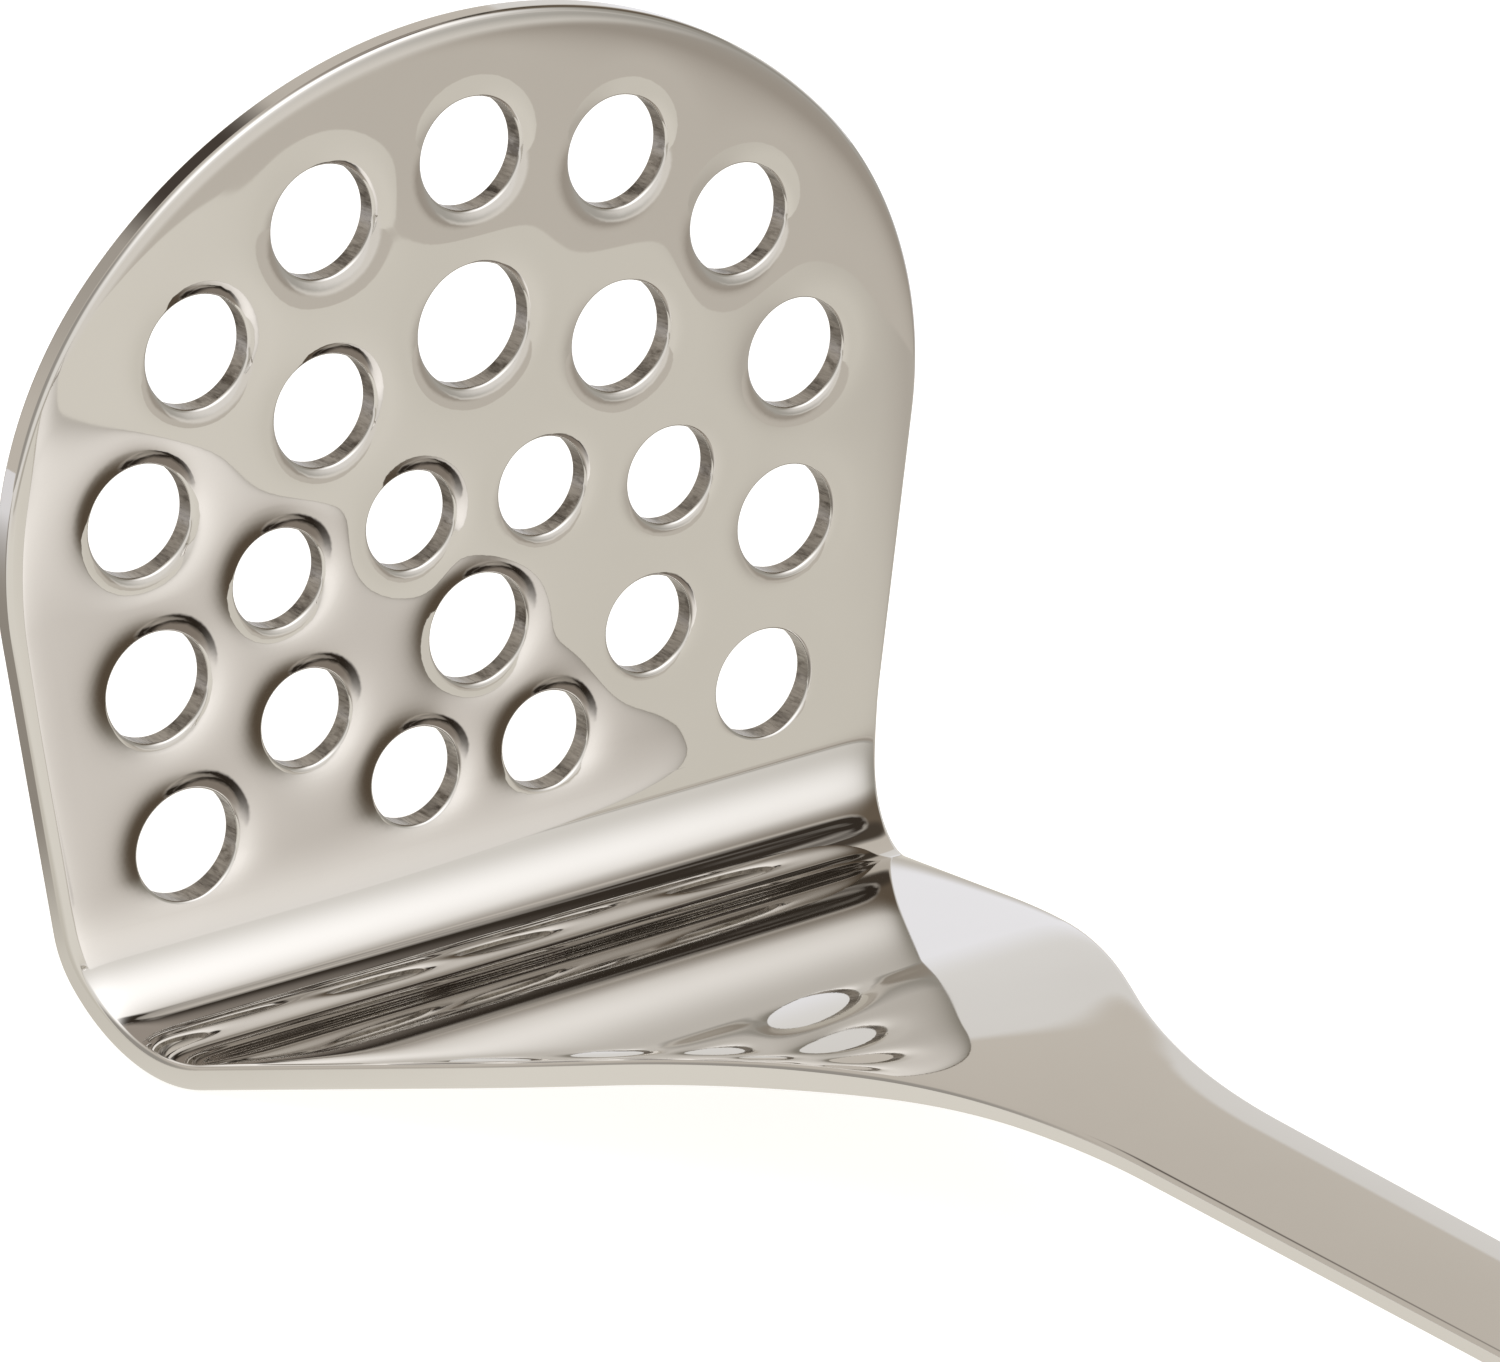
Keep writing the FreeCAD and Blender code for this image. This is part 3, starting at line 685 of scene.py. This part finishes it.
shank_x, shank_z, shank_heading, _ = (float(v) for v in sheet_frame(BLANK[-1][0]))
GRIP_PLACE = (UPRIGHT @ Matrix.Translation((shank_x, 0, shank_z)) @ Matrix.Rotation(-shank_heading, 4, "Y"))


def clamped_spline(points, start_way, end_way):
    """A smooth curve through points with given end directions, by distance along their chords."""
    points = np.array(points, float)
    knots = np.append(0, np.cumsum(np.linalg.norm(np.diff(points, axis=0), axis=1)))
    gaps = np.diff(knots)
    count = len(points)
    matrix, right = np.zeros((count, count)), np.zeros((count, 2))
    matrix[0, 0] = matrix[-1, -1] = 1
    right[0], right[-1] = start_way, end_way
    for i in range(1, count - 1):
        before, after = gaps[i - 1], gaps[i]
        matrix[i, i - 1:i + 2] = after, 2 * (before + after), before
        rise_before, rise_after = points[i] - points[i - 1], points[i + 1] - points[i]
        right[i] = 3 * (after * rise_before / before + before * rise_after / after)
    slopes = np.linalg.solve(matrix, right)

    def at(distance):
        i = np.clip(np.searchsorted(knots, distance, side="right") - 1, 0, count - 2)
        h = gaps[i][:, None]
        t = ((distance - knots[i]) / gaps[i])[:, None]
        place = ((2 * t**3 - 3 * t**2 + 1) * points[i] + (t**3 - 2 * t**2 + t) * h * slopes[i]
                 + (-2 * t**3 + 3 * t**2) * points[i + 1] + (t**3 - t**2) * h * slopes[i + 1])
        way = ((6 * t**2 - 6 * t) * points[i] / h + (3 * t**2 - 4 * t + 1) * slopes[i]
               + (-6 * t**2 + 6 * t) * points[i + 1] / h + (3 * t**2 - 2 * t) * slopes[i + 1])
        return place, way

    return at, knots[-1]


def grip_profile():
    """Places and directions along the grip's outline, closer together toward its rounded end."""
    first = np.array(GRIP[1]) - np.array(GRIP[0])
    at, length = clamped_spline(GRIP, first / np.linalg.norm(first), (0, -1))
    share = 1 - (1 - np.linspace(0, 1, 150)) ** 1.7
    return at(share * length)


PROFILE, PROFILE_WAY = grip_profile()


def shell_rows(level):
    """Half of the grip: an oval section that follows the outline, stepping in where the halves meet."""
    x, wide = PROFILE[:, 0], np.maximum(PROFILE[:, 1], 0)
    turns = np.concatenate([[0, 0.012, 0.03], np.linspace(0.06, math.pi - 0.06, 70),
                            [math.pi - 0.03, math.pi - 0.012, math.pi]])
    step_in = GRIP_SEAM * np.exp(-np.minimum(turns, math.pi - turns) / SEAM_WIDTH)
    rows, normals = [], []
    c, s = np.cos(turns), np.sin(turns)
    for i in range(len(x)):
        reach = np.maximum(wide[i] - step_in, 0)
        rows.append(np.column_stack([np.full(len(turns), x[i]), reach * c,
                                     level * reach * GRIP_FLATNESS * s]))
        dx, dw = PROFILE_WAY[i]
        normals.append(np.column_stack([np.full(len(turns), -dw), dx * c, level * dx * s / GRIP_FLATNESS]))
    return np.array(rows), np.array(normals)


def pierced_shell(skin, level):
    """The half shell, with the patch round the eyelet's hole filled in afresh over the grip's plan."""
    rows, normals = shell_rows(level)
    x, wide = PROFILE[:, 0], np.maximum(PROFILE[:, 1], 0)
    turns_count = rows.shape[1]
    # the rows and columns of the chart that the patch replaces
    near = [i for i in range(len(x)) if abs(x[i] - EYELET_AT) < EYELET_OUTER + 1.2]
    first, last = near[0], near[-1]
    columns = [j for j in range(turns_count)
               if abs(rows[len(x) // 2, j, 1]) < (EYELET_OUTER + 1.6) / wide[near].min() * wide[len(x) // 2]]
    left, right = columns[0], columns[-1]
    start = skin.add(rows, normals)
    quads = []
    for i in range(len(x) - 1):
        for j in range(turns_count - 1):
            if first <= i < last and left <= j < right:
                continue
            quads.append((i * turns_count + j, (i + 1) * turns_count + j,
                          (i + 1) * turns_count + j + 1, i * turns_count + j + 1))
    skin.turn_and_keep(np.array(quads) + start, 0)
    border = ([(i, left) for i in range(first, last)] + [(last, j) for j in range(left, right)]
              + [(i, right) for i in range(last, first, -1)] + [(first, j) for j in range(right, left, -1)])
    points = [tuple(rows[i, j, :2]) for i, j in border]
    edges = [(k, (k + 1) % len(points)) for k in range(len(points))]
    rings = [EYELET_OUTER + 0.02, EYELET_OUTER + 0.3, EYELET_OUTER + 0.7]
    for reach in rings:
        begin = len(points)
        points += [(EYELET_AT + reach * math.cos(a), reach * math.sin(a)) for a in ANGLES[::2]]
        edges += [(begin + k, begin + (k + 1) % len(ANGLES[::2])) for k in range(len(ANGLES[::2]))]
    verts, _, tris, *_ = delaunay_2d_cdt([Vector(p) for p in points], edges, [], 0, 1e-7)
    flat = np.array([v[:] for v in verts])
    tris = np.array([t for t in tris if len(t) == 3])
    middle = flat[tris].mean(1)
    tris = tris[np.hypot(middle[:, 0] - EYELET_AT, middle[:, 1]) > EYELET_OUTER]
    places, ways = surface_over(flat, level)
    start = skin.add(places, ways)
    skin.turn_and_keep(tris + start, 0)


def surface_over(flat, level):
    """Points and normals of the grip's outside above points of its plan."""
    wide = np.interp(flat[:, 0], PROFILE[:, 0], PROFILE[:, 1])
    way = np.column_stack([np.interp(flat[:, 0], PROFILE[:, 0], PROFILE_WAY[:, axis]) for axis in (0, 1)])
    slope = way[:, 1] / way[:, 0]
    tall = np.sqrt(np.maximum(wide**2 - flat[:, 1] ** 2, 0))
    places = np.column_stack([flat, level * GRIP_FLATNESS * tall])
    c, s = flat[:, 1] / wide, tall / wide
    normals = np.column_stack([-slope, c, level * s / GRIP_FLATNESS])
    return places, normals


for name, node, level in (("grip_upper_half", "grip_shell_upper", 1),
                          ("grip_lower_half", "grip_shell_lower", -1)):
    skin = Skin()
    pierced_shell(skin, level)
    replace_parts(skin.build(name, [SATIN], GRIP_PLACE), node)

# eyelet: a tube whose ends follow the grip's surface, with small rounded lips
EYELET_ROWS = (   # reach from its axis, depth below the grip's surface, and how far the normal leans outwards
    (EYELET_OUTER, 0.02, 0.0), (EYELET_OUTER - 0.1, 0.0, 0.1), (EYELET_INNER + 0.35, 0.0, 0.0),
    (EYELET_INNER + 0.18, 0.05, -0.5), (EYELET_INNER + 0.05, 0.16, -1.4), (EYELET_INNER, 0.34, -6.0))
skin = Skin()
spoke = np.column_stack([np.cos(ANGLES), np.sin(ANGLES)])
wall_ends = []
for level in (1, -1):
    rows, normals = [], []
    for reach, depth, lean in EYELET_ROWS:
        places, ways = surface_over(np.array([EYELET_AT, 0]) + spoke * reach, level)
        places[:, 2] -= level * depth
        ways = ways / np.linalg.norm(ways, axis=1, keepdims=True)
        ways[:, :2] += spoke * lean
        rows.append(places)
        normals.append(ways)
    skin.grid(rows, normals, closed=True)
    wall_ends.append(rows[-1])
wall = [wall_ends[0] * (1 - share) + wall_ends[1] * share for share in np.linspace(0, 1, 9)]
skin.grid(wall, [np.column_stack([-spoke, np.zeros(len(spoke))])] * len(wall), closed=True)
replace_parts(skin.build("hanging_hole_liner", [POLISHED], GRIP_PLACE), "hanging_eyelet")

# collar: ovals that grow from the shank to the grip, made smaller at the first stations to soften the front
COLLAR_STEPS = 128
FRONT_OVAL = (4.0, 0.4)   # half width and half height of the oval inside which the front is left open
skin = Skin()
given = np.array(COLLAR)
stations = np.concatenate([[0, 0, 0.04, 0.15, 0.32, 0.55], np.linspace(0.9, given[-1, 0], 40)])
shrink = np.concatenate([[0.999, 0.55, 0.30, 0.12, 0.03, 0.0], np.zeros(40)])
wide, tall = (np.polyval(np.polyfit(given[:, 0], given[:, column], 2), stations) - shrink
              for column in (1, 2))
wide[0], tall[0] = FRONT_OVAL
turns = np.arange(COLLAR_STEPS) / COLLAR_STEPS * 2 * math.pi
rows = np.stack([np.broadcast_to(stations[:, None], (len(stations), COLLAR_STEPS)),
                 wide[:, None] * np.cos(turns), tall[:, None] * np.sin(turns)], -1)
lengthways = np.gradient(rows, axis=0)
round_way = np.roll(rows, -1, axis=1) - np.roll(rows, 1, axis=1)
normals = np.cross(round_way, lengthways)
normals[0] = normals[1] = (-1, 0, 0)
skin.grid(rows, normals, closed=True)
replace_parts(skin.build("collar_steel", [POLISHED], GRIP_PLACE), "grip_collar")

# ---------------------------------------------------------------- floor, light and camera


def pale_floor_painted_reflection():
    """White to the eye, with soft shadows. Polished metal sees a painted reflection of a table instead, which
    only
    glossy rays see: warm near the masher, a little darker beyond a line on the far side, and paler in the
    distance."""
    material = bpy.data.materials.new("pale_floor_painted_reflection")
    material.use_nodes = True
    graph = Graph(material.node_tree)
    fade, mix, product = graph.fade, graph.mix, graph.product
    shader = graph.find("BSDF_PRINCIPLED")
    for name, value in (("Base Color", (0.86, 0.858, 0.855)), ("Roughness", 0.9), ("Specular IOR Level", 0.0),
                        ("Emission Color", (1, 1, 1)), ("Emission Strength", 0.62)):
        graph.feed(shader.inputs[name], value)

    # distances are in metres; the plate is at the end where x is low, and the near side is where y is low
    where = graph.add("TexCoord").outputs["Object"]
    x, y, _ = graph.split(where)

    def along(x_share, y_share):
        return graph.calculate("ADD", product(x, x_share), product(y, y_share))

    # painted reflection: warm near the masher, darker further back
    back = along(-0.4, 1.0)
    far = graph.measure("DISTANCE", where, (0, 0, 0))
    painted_reflection = mix((0.89, 0.86, 0.79), (0.81, 0.78, 0.71), fade(back, 0.045, 0.09))
    painted_reflection = mix(painted_reflection, (0.60, 0.565, 0.51), fade(back, 0.10, 0.145))
    # painted reflection, darker beyond a line on the far side of the masher
    painted_far_reflection = mix((0.68, 0.64, 0.58), (0.45, 0.41, 0.36), fade(y, 0.115, 0.165))
    painted_reflection = mix(painted_reflection, painted_far_reflection, fade(along(0.551, 0.835), 0.0672, 0.0695))
    # painted reflection, paler round the grip and on the near side of the plate and the neck, which is the
    # brightest
    painted_reflection = mix(painted_reflection, (0.90, 0.87, 0.82), fade(along(1.0, -0.4), 0.02, 0.06))
    painted_reflection = mix(painted_reflection, (0.95, 0.925, 0.86), product(fade(y, 0.0, -0.035), fade(x, 0.03, -0.02)))
    # painted shade in the reflection, on the near side: a round spot by the plate's foot, and all of it
    # beside the grip
    painted_dim_spot = graph.measure("DISTANCE", where, (-0.145, -0.07, 0))
    painted_reflection = mix(painted_reflection, (0.76, 0.73, 0.66), fade(painted_dim_spot, 0.045, 0.015))
    painted_reflection = mix(painted_reflection, (0.60, 0.57, 0.51), product(fade(x, 0.03, 0.06), fade(y, 0.01, -0.01)))
    # in the distance the painted reflection fades into a painted room, whose colour differs from side to side
    sideways, forward = graph.calculate("DIVIDE", y, far), graph.calculate("DIVIDE", x, far)
    painted_distant_reflection = mix((0.97, 0.95, 0.92), (0.50, 0.485, 0.45), fade(sideways, 0.42, 0.82))
    painted_distant_reflection = mix(painted_distant_reflection, (0.97, 0.97, 1.01), fade(forward, -0.3, -0.6))
    painted_distant_reflection = mix(painted_distant_reflection, (0.42, 0.39, 0.35), fade(forward, -0.9, -0.96))
    painted_reflection = mix(painted_reflection, painted_distant_reflection, fade(far, 0.16, 0.36))
    # a painted dark reflection: a strip behind the plate
    painted_dark_strip = product(fade(x, -0.15, -0.18), fade(y, 0.05, 0.0))
    painted_reflection = mix(painted_reflection, (0.36, 0.33, 0.29), product(painted_dark_strip, fade(x, -0.5, -0.2)))

    # the painted reflection is an emission that only glossy rays see; other rays see the plain lit floor
    painted_reflection_glow = graph.add("Emission")
    graph.feed(painted_reflection_glow.inputs["Color"], painted_reflection)
    chosen = graph.add("MixShader")
    for index, value in enumerate((graph.add("LightPath").outputs["Is Glossy Ray"], shader.outputs["BSDF"],
                                   painted_reflection_glow.outputs["Emission"])):
        graph.feed(chosen.inputs[index], value)
    graph.feed(graph.find("OUTPUT_MATERIAL").inputs["Surface"], chosen.outputs["Shader"])
    return material


bpy.ops.mesh.primitive_circle_add(vertices=128, radius=12, fill_type="NGON", location=(0, 0, -0.0002))
floor = bpy.context.object
floor.name = "floor"
floor.data.materials.append(pale_floor_painted_reflection())

world = bpy.data.worlds.new("studio")
bpy.context.scene.world = world
world.use_nodes = True
sky = Graph(world.node_tree)
sky.nodes.clear()
way = sky.add("TexCoord").outputs["Generated"]


def direction(azimuth, elevation):
    """A unit vector, from angles in degrees."""
    a, e = math.radians(azimuth), math.radians(elevation)
    return Vector((math.cos(e) * math.cos(a), math.cos(e) * math.sin(a), math.sin(e)))


def patch(azimuth, elevation, inner, outer):
    """1 within inner degrees of a direction, falling smoothly to 0 at outer degrees."""
    agreement = sky.measure("DOT_PRODUCT", way, direction(azimuth, elevation))
    return sky.fade(agreement, math.cos(math.radians(outer)), math.cos(math.radians(inner)))


def between(source, low, high, low_soft, high_soft):
    """1 where low < source < high, with soft ends."""
    return sky.product(sky.fade(source, low - low_soft, low + low_soft),
                       sky.fade(source, high + high_soft, high - high_soft))


def across(axis, centre):
    """The slope of the direction of view along an axis, measured from a centre direction."""
    return sky.calculate("DIVIDE", sky.measure("DOT_PRODUCT", way, axis),
                         sky.measure("DOT_PRODUCT", way, centre))


def panel(azimuth, elevation, half_width, half_height, soft):
    """1 inside a flat rectangle seen square on in one direction, with soft edges; all in degrees."""
    centre = direction(azimuth, elevation)
    level = -direction(azimuth + 90, 0)
    upward = level.cross(centre)
    wide, high, edge = (math.tan(math.radians(v)) for v in (half_width, half_height, soft))
    within = sky.product(between(across(level, centre), -wide, wide, edge, edge),
                         between(across(upward, centre), -high, high, edge, edge))
    return sky.product(within, patch(azimuth, elevation, 75, 85))


_, _, height = sky.split(way)

# the room: a warm grey wall behind the plate, paler in front of it and dim to both sides
room = sky.mix((0.70, 0.655, 0.595), (0.98, 0.965, 0.935), patch(-20, 0, 35, 95))
room = sky.mix(room, (0.42, 0.405, 0.365), patch(75, 10, 15, 50))
room = sky.mix(room, (0.42, 0.40, 0.37), patch(-82, 26, 20, 48))
# a pale backdrop behind the table
backdrop = sky.mix((0.86, 0.848, 0.83), (0.96, 0.96, 0.995), between(height, -1, 0.045, 0.1, 0.06))
room = sky.mix(room, backdrop, sky.product(between(height, -1, 0.309, 0.1, 0.014), patch(140, 0, 45, 60)))
# one large soft box, bright in the middle and fading toward its edges
room = sky.mix(room, (1.82, 1.83, 1.86), panel(12.4, 38.6, 22.3, 20.6, 20.3))
# dark gaps beside it and on the opposite side
room = sky.mix(room, (0.17, 0.135, 0.10), patch(85, 42, 10, 28))
room = sky.mix(room, (0.08, 0.065, 0.05), patch(112, 52, 6, 16))
room = sky.mix(room, (0.42, 0.39, 0.35), patch(-172, 18, 14, 30))
room = sky.mix(room, (0.08, 0.065, 0.055), patch(-173, 40, 4, 13))
# a dark ceiling with pale streaks in it
streak = sky.noise(way, (1.0, 1.0, 6.0), 3.2)
ceiling = sky.ramp(streak, (0.045, 0.036, 0.028), (0.70, 0.66, 0.61), 0.50, 0.68)
ceiling = sky.mix(ceiling, (0.42, 0.375, 0.335), between(height, 0.875, 2, 0.02, 0.1))
room = sky.mix(room, ceiling, sky.product(between(height, 0.806, 2, 0.010, 0.1), patch(90, 58, 24, 42)))

# the eye sees one plain tone instead
seen = sky.mix(room, (0.93, 0.925, 0.92), sky.add("LightPath").outputs["Is Camera Ray"])
background = sky.add("Background")
sky.feed(background.inputs["Color"], seen)
sky.feed(sky.add("OutputWorld").inputs["Surface"], background.outputs["Background"])


def soft_light(name, place, size, power):
    """A square light aimed at the middle of the scene. Only dull surfaces see it."""
    light = bpy.data.lights.new(name, "AREA")
    light.shape = "SQUARE"
    light.size = size
    light.energy = power
    light.color = (1.0, 0.985, 0.965)
    lamp = bpy.data.objects.new(name, light)
    lamp.location = place
    lamp.rotation_euler = (-Vector(place)).to_track_quat("-Z", "Y").to_euler()
    lamp.visible_camera = False
    lamp.visible_glossy = False
    bpy.context.scene.collection.objects.link(lamp)


soft_light("key", (0.3, -0.6, 1.6), 1.6, 5)
soft_light("fill", (-0.9, 0.8, 1.2), 1.4, 3)

# the camera looks at the plate's front from the near side: a long lens, turned a little about its axis
CAMERA_PLACE = (0.47422, -0.38869, 0.28242)
CAMERA_AZIMUTH, CAMERA_ELEVATION, CAMERA_ROLL = 145.639, -19.706, math.radians(-2.702)
camera_data = bpy.data.cameras.new("camera")
camera_data.sensor_width = 36
camera_data.lens = 215.3
camera_data.clip_end = 50
camera = bpy.data.objects.new("camera", camera_data)
bpy.context.scene.collection.objects.link(camera)
bpy.context.scene.camera = camera
ahead = direction(CAMERA_AZIMUTH, CAMERA_ELEVATION)
level_right = ahead.cross(Vector((0, 0, 1))).normalized()
level_up = level_right.cross(ahead)
right = level_right * math.cos(CAMERA_ROLL) + level_up * math.sin(CAMERA_ROLL)
up = level_up * math.cos(CAMERA_ROLL) - level_right * math.sin(CAMERA_ROLL)
turned = Matrix((right, up, -ahead)).transposed().to_4x4()
camera.matrix_world = Matrix.Translation(CAMERA_PLACE) @ turned

bpy.context.scene.view_settings.view_transform = "Standard"
